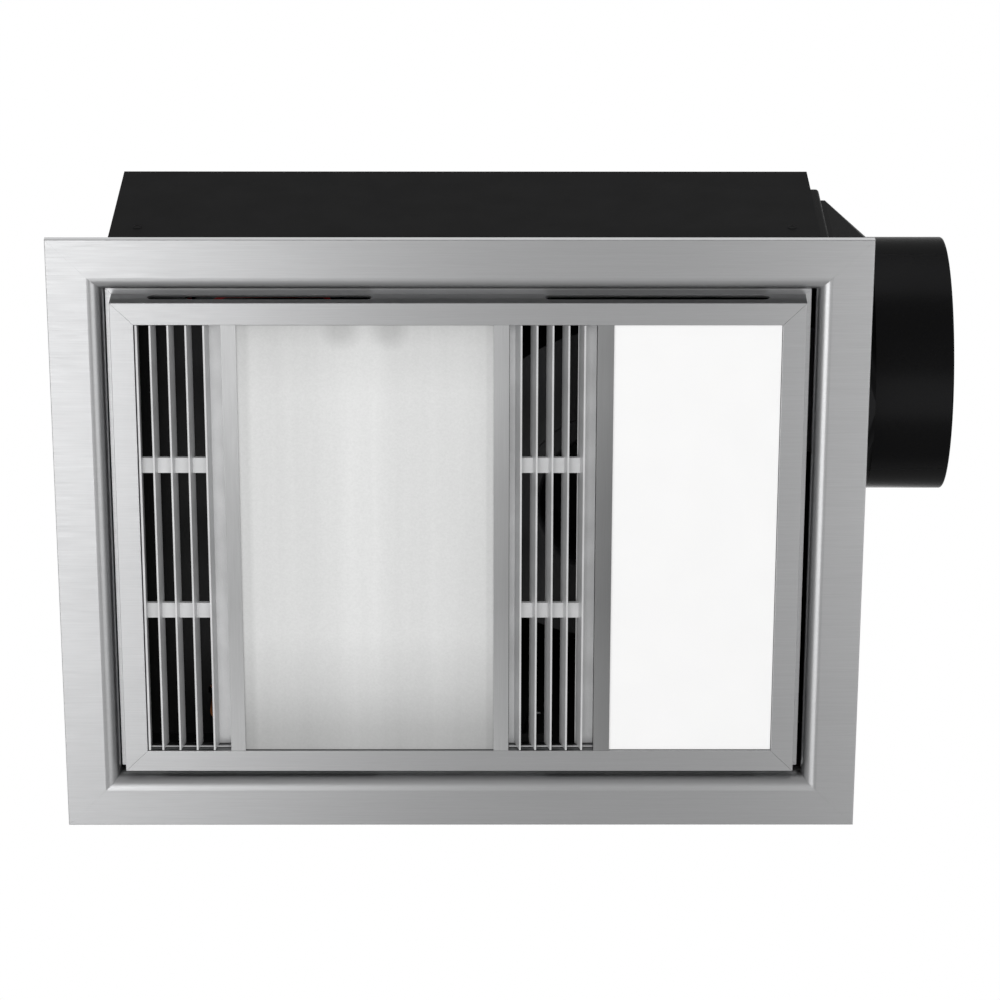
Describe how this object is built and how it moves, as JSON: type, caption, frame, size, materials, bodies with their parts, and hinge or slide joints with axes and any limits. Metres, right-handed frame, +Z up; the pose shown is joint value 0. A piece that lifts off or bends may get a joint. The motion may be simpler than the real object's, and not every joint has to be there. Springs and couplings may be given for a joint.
{
  "type": "bathroom heater fan light",
  "caption": "Ceiling unit with a heater glass, light panel and air grilles in a brushed frame, a boxed housing, and a round duct collar on one side.",
  "frame": {"origin": "centre of the trim frame, in the plane of the ceiling's underside", "axes": "+Z up into the ceiling, +X towards the duct collar, +Y across the short way"},
  "size_m": [0.522, 0.371, 0.2094],
  "materials": {
    "brushed_frame": "fine brushed grain along the long rails",
    "grille_silver": "satin silver",
    "corner_aluminium": "plain mill finish",
    "frosted_glass": "frosted, fine dimpled back",
    "opal_diffuser": "smooth opal white",
    "white_sheet": "satin white",
    "lit_board": "white solder mask",
    "spring_steel": "bright drawn wire and strip",
    "saddle_nylon": "natural nylon",
    "zinc_steel": "zinc spangle",
    "bright_steel": "turned bright",
    "black_sheet": "matt black powder coat",
    "black_moulding": "smooth moulded black",
    "flap_moulding": "satin dark grey",
    "fan_moulding": "satin dark grey",
    "mount_rubber": "matt black rubber",
    "bright_reflector": "bright rolled reflector sheet",
    "lamp_glass": "clear quartz",
    "lamp_ceramic": "white unglazed ceramic",
    "filament_wire": "dull tungsten",
    "red_insulation": "smooth red sleeve",
    "brown_insulation": "smooth brown sleeve",
    "grey_insulation": "smooth grey sheath",
    "gland_nylon": "black nylon",
    "terminal_plastic": "off-white moulding",
    "driver_case": "satin light grey"
  },
  "bodies": {
    "housing": {"brown_lamp_lead": "brown_insulation", "cable_gland": "gland_nylon", "duct_adaptor": "black_moulding", "duct_seat": "black_moulding", "electrics_shelf": "black_sheet", "fan_posts": "zinc_steel", "fan_screws": "bright_steel", "flap_pin": "bright_steel", "flap_spring": "spring_steel", "gland_nut": "gland_nylon", "housing_rivets": "black_sheet", "housing_shell": "black_sheet", "inlet_ring": "fan_moulding", "lamp_brackets": "black_sheet", "lamp_caps": "lamp_ceramic", "lamp_filaments": "filament_wire", "lamp_holders": "lamp_ceramic", "lamp_tubes": "lamp_glass", "left_end_plate": "black_sheet", "light_driver": "driver_case", "motor_case": "zinc_steel", "motor_lead": "grey_insulation", "motor_mounts": "mount_rubber", "red_lamp_lead": "red_insulation", "reflector": "bright_reflector", "right_end_plate": "black_sheet", "run_capacitor": "driver_case", "scroll_bottom": "fan_moulding", "scroll_casing": "fan_moulding", "scroll_top": "fan_moulding", "spring_brackets": "black_sheet", "terminal_block": "terminal_plastic", "terminal_cover": "terminal_plastic", "thermal_cutout": "bright_steel", "trim_clips": "spring_steel", "trim_corner_keys": "corner_aluminium", "trim_rail_far": "brushed_frame", "trim_rail_left": "brushed_frame", "trim_rail_near": "brushed_frame", "trim_rail_right": "brushed_frame"},
    "panel": {"panel_rail_near": "brushed_frame", "panel_rail_far": "brushed_frame", "panel_rail_left": "brushed_frame", "panel_rail_right": "brushed_frame", "panel_corner_keys": "corner_aluminium", "divider_strips": "brushed_frame", "grille_left": "grille_silver", "grille_right": "grille_silver", "heater_glass": "frosted_glass", "glass_clips": "spring_steel", "light_diffuser": "opal_diffuser", "light_back_pan": "white_sheet", "light_board": "lit_board", "panel_springs": "spring_steel", "spring_saddles": "saddle_nylon"},
    "rotor": {"impeller": "fan_moulding", "fan_shaft": "bright_steel", "impeller_nut": "bright_steel"},
    "near_flap": {"flap_near": "flap_moulding"},
    "far_flap": {"flap_far": "flap_moulding"}
  },
  "joints": [
    {"name": "panel_drop", "type": "slide", "parent": "housing", "child": "panel", "axis": [0, 0, -1], "range_m": [0, 0.04], "stiffness_N_per_m": 300, "springref_m": -0.08},
    {"name": "fan_spin", "type": "hinge", "parent": "housing", "child": "rotor", "pos_m": [0.092, 0, 0.1], "axis": [0, 0, 1], "continuous": true},
    {"name": "near_flap_fold", "type": "hinge", "parent": "housing", "child": "near_flap", "pos_m": [0.2151, -0.072, 0.099], "axis": [0, 0, 1], "range_deg": [0, 80], "stiffness_Nm_per_rad": 0.003, "springref_deg": -17.19},
    {"name": "far_flap_fold", "type": "hinge", "parent": "housing", "child": "far_flap", "pos_m": [0.2151, -0.072, 0.099], "axis": [0, 0, -1], "range_deg": [0, 80], "stiffness_Nm_per_rad": 0.003, "springref_deg": -17.19}
  ]
}
